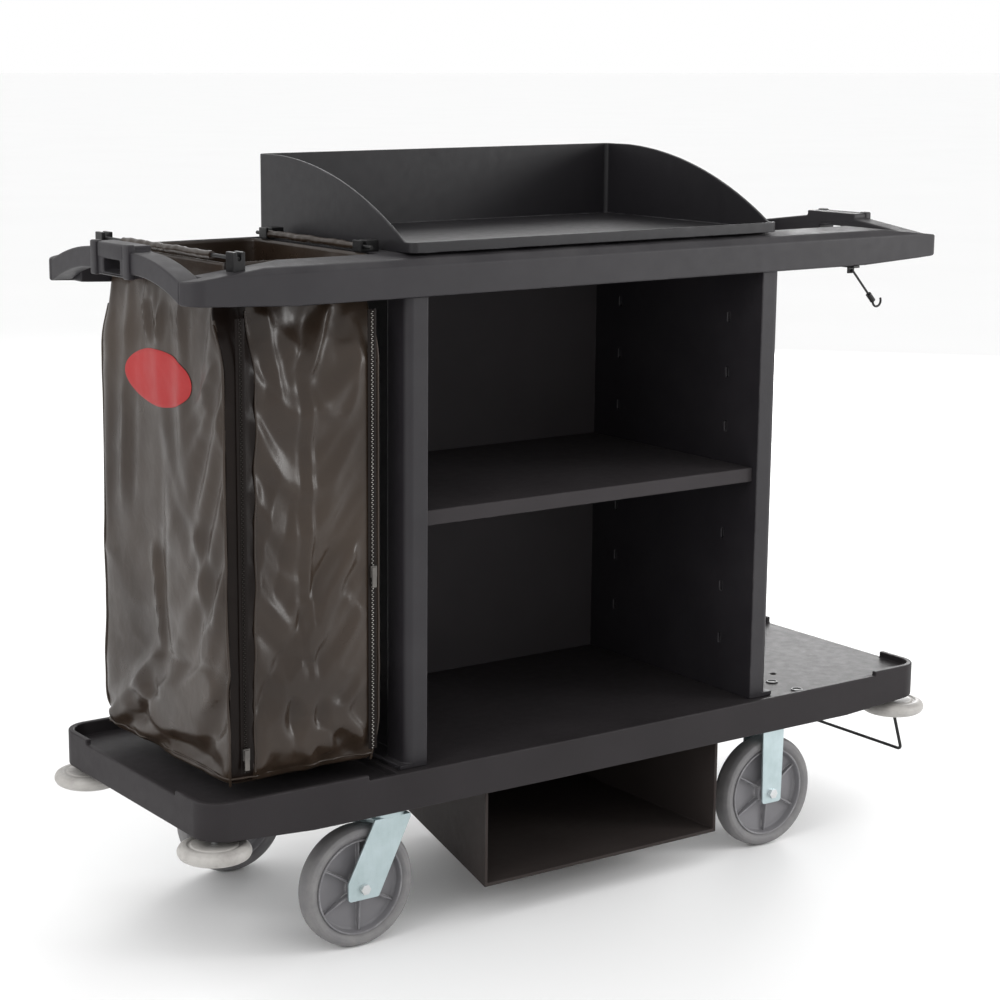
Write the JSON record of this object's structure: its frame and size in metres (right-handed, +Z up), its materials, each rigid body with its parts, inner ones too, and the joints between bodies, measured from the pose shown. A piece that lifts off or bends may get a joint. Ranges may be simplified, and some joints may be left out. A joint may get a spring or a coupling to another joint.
{
  "type": "housekeeping cart",
  "caption": "Wheeled cleaning cart: an open shelved cabinet between end rails, with a hanging laundry bag, a top organizer and an under-deck box.",
  "frame": {"origin": "on the floor under the middle of the deck", "axes": "+X along the cart towards the open platform end, +Y from the open cabinet front to its back panel, +Z up"},
  "size_m": [1.56, 0.552, 1.244],
  "materials": {
    "deck_plastic": "moulded, fine grain",
    "frame_plastic": "moulded, fine grain",
    "panel_plastic": "moulded, fine grain",
    "organizer_plastic": "moulded, satin",
    "box_plastic": "moulded, satin",
    "clip_plastic": "moulded, smooth",
    "bag_vinyl": "coated cloth, half gloss",
    "zip_tape": "woven tape",
    "zip_metal": "nickel plated",
    "zinc_steel": "zinc plated, blue passivated",
    "bright_steel": "zinc plated",
    "black_wire": "powder coated",
    "grey_tyre": "smooth grey rubber",
    "grey_hub": "moulded",
    "bush_plastic": "moulded",
    "bumper_rubber": "non marking"
  },
  "bodies": {
    "frame": {"base_deck": "deck_plastic", "left_wall": "frame_plastic", "right_wall": "frame_plastic", "back_panel": "panel_plastic", "middle_shelf": "panel_plastic", "shelf_pegs": "panel_plastic", "front_rail": "frame_plastic", "rear_rail": "frame_plastic", "left_crossbar": "frame_plastic", "right_crossbar": "frame_plastic", "top_panel": "frame_plastic", "frame_dowels": "bright_steel", "organizer": "organizer_plastic", "under_deck_box": "box_plastic", "box_screws": "bright_steel", "foot_bolts": "bright_steel", "foot_nuts": "bright_steel", "bag": "bag_vinyl", "outer_bag_rod": "black_wire", "inner_bag_rod": "black_wire", "rail_clips": "clip_plastic", "wall_clips": "clip_plastic", "zip_tapes": "zip_tape", "swivel_plates": "zinc_steel", "swivel_bearings": "zinc_steel", "kingpins": "bright_steel", "caster_bolts": "bright_steel", "rigid_forks": "zinc_steel", "rigid_axles": "bright_steel", "bumper_pins": "bright_steel", "hoop_brackets": "zinc_steel", "hook_bracket": "black_wire"},
    "front_left_swivel": {"front_left_fork": "zinc_steel", "front_left_axle": "bright_steel"},
    "front_left_roller": {"front_left_tyre": "grey_tyre", "front_left_wheel": "grey_hub", "front_left_bush": "bush_plastic"},
    "rear_left_swivel": {"rear_left_fork": "zinc_steel", "rear_left_axle": "bright_steel"},
    "rear_left_roller": {"rear_left_tyre": "grey_tyre", "rear_left_wheel": "grey_hub", "rear_left_bush": "bush_plastic"},
    "front_right_roller": {"front_right_tyre": "grey_tyre", "front_right_wheel": "grey_hub", "front_right_bush": "bush_plastic"},
    "rear_right_roller": {"rear_right_tyre": "grey_tyre", "rear_right_wheel": "grey_hub", "rear_right_bush": "bush_plastic"},
    "front_left_bumper_roller": {"front_left_bumper": "bumper_rubber"},
    "rear_left_bumper_roller": {"rear_left_bumper": "bumper_rubber"},
    "front_right_bumper_roller": {"front_right_bumper": "bumper_rubber"},
    "rear_right_bumper_roller": {"rear_right_bumper": "bumper_rubber"},
    "hoop": {"wire_hoop": "black_wire"},
    "hook": {"hanging_hook": "black_wire", "hook_bead": "clip_plastic"},
    "front_zip": {"front_zip_slider": "zip_metal", "front_zip_pull": "zip_metal"},
    "corner_zip": {"corner_zip_slider": "zip_metal", "corner_zip_pull": "zip_metal"}
  },
  "joints": [
    {"name": "front_left_swivel_turn", "type": "hinge", "parent": "frame", "child": "front_left_swivel", "pos_m": [-0.403, -0.205, 0.21], "axis": [0, 0, 1], "continuous": true},
    {"name": "front_left_wheel_spin", "type": "hinge", "parent": "front_left_swivel", "child": "front_left_roller", "pos_m": [-0.458, -0.205, 0.1015], "axis": [0, 1, 0], "continuous": true},
    {"name": "rear_left_swivel_turn", "type": "hinge", "parent": "frame", "child": "rear_left_swivel", "pos_m": [-0.403, 0.205, 0.21], "axis": [0, 0, 1], "continuous": true},
    {"name": "rear_left_wheel_spin", "type": "hinge", "parent": "rear_left_swivel", "child": "rear_left_roller", "pos_m": [-0.458, 0.205, 0.1015], "axis": [0, 1, 0], "continuous": true},
    {"name": "front_right_wheel_spin", "type": "hinge", "parent": "frame", "child": "front_right_roller", "pos_m": [0.414, -0.205, 0.1015], "axis": [0, 1, 0], "continuous": true},
    {"name": "rear_right_wheel_spin", "type": "hinge", "parent": "frame", "child": "rear_right_roller", "pos_m": [0.414, 0.205, 0.1015], "axis": [0, 1, 0], "continuous": true},
    {"name": "front_left_bumper_turn", "type": "hinge", "parent": "frame", "child": "front_left_bumper_roller", "pos_m": [-0.722, -0.218, 0.215], "axis": [0, 0, 1], "continuous": true},
    {"name": "rear_left_bumper_turn", "type": "hinge", "parent": "frame", "child": "rear_left_bumper_roller", "pos_m": [-0.722, 0.218, 0.215], "axis": [0, 0, 1], "continuous": true},
    {"name": "front_right_bumper_turn", "type": "hinge", "parent": "frame", "child": "front_right_bumper_roller", "pos_m": [0.722, -0.218, 0.215], "axis": [0, 0, 1], "continuous": true},
    {"name": "rear_right_bumper_turn", "type": "hinge", "parent": "frame", "child": "rear_right_bumper_roller", "pos_m": [0.722, 0.218, 0.215], "axis": [0, 0, 1], "continuous": true},
    {"name": "hoop_fold", "type": "hinge", "parent": "frame", "child": "hoop", "pos_m": [0.734, 0, 0.196], "axis": [0, 1, 0], "range_deg": [-65, 104]},
    {"name": "hook_swing", "type": "hinge", "parent": "frame", "child": "hook", "pos_m": [0.558, -0.233, 1.036], "axis": [0, 1, 0], "range_deg": [-35, 105]},
    {"name": "front_zip_travel", "type": "slide", "parent": "frame", "child": "front_zip", "axis": [0, 0, 1], "range_m": [-0.245, 0.4]},
    {"name": "corner_zip_travel", "type": "slide", "parent": "frame", "child": "corner_zip", "axis": [0, 0, 1], "range_m": [0, 0.655]}
  ]
}
